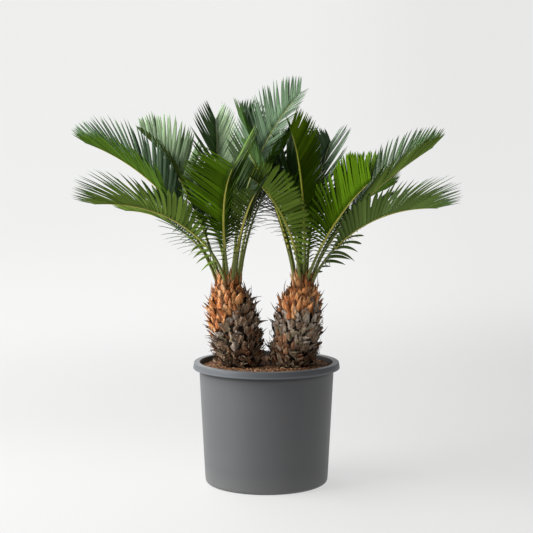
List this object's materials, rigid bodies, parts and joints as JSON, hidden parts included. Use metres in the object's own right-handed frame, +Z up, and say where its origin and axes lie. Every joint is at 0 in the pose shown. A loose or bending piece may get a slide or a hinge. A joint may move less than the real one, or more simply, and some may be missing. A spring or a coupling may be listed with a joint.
{
  "type": "potted sago palm",
  "caption": "Sago palm with two heads of stiff feather-shaped fronds on short scaly trunks, growing in a plain round grey nursery pot with a rolled rim.",
  "frame": {"origin": "centre of the pot's flat underside, on the floor", "axes": "+Z up along the pot's axis; +X to the right and +Y away from the viewer in the picture, so the two trunks stand side by side along X"},
  "size_m": [0.9219, 0.7442, 1.0182],
  "materials": {
    "pot": "matte moulded grey plastic with fine grain",
    "soil": "coarse reddish-brown bark and soil crumbs",
    "bark": "overlapping woody leaf bases, rust-brown wool towards the crown",
    "frond": "stiff leaflets, glossy deep green above and paler matte green below"
  },
  "bodies": {
    "root": {"left_frond_01": "frond", "left_frond_01_tip": "frond", "left_frond_02": "frond", "left_frond_02_tip": "frond", "left_frond_03": "frond", "left_frond_04": "frond", "left_frond_05": "frond", "left_frond_06": "frond", "left_frond_07": "frond", "left_frond_07_tip": "frond", "left_frond_08": "frond", "left_frond_09": "frond", "left_frond_09_tip": "frond", "left_frond_10": "frond", "left_frond_10_tip": "frond", "left_frond_11": "frond", "left_frond_11_tip": "frond", "left_frond_12": "frond", "left_frond_12_tip": "frond", "left_frond_13": "frond", "pot": "pot", "right_frond_01": "frond", "right_frond_01_tip": "frond", "right_frond_02": "frond", "right_frond_02_tip": "frond", "right_frond_03": "frond", "right_frond_04": "frond", "right_frond_05": "frond", "right_frond_06": "frond", "right_frond_06_tip": "frond", "right_frond_07": "frond", "right_frond_08": "frond", "right_frond_09": "frond", "right_frond_09_tip": "frond", "right_frond_10": "frond", "right_frond_10_tip": "frond", "right_frond_11": "frond", "right_frond_11_tip": "frond", "right_frond_12": "frond", "right_frond_13": "frond", "soil": "soil", "trunk_left": "bark", "trunk_right": "bark"}
  },
  "joints": []
}
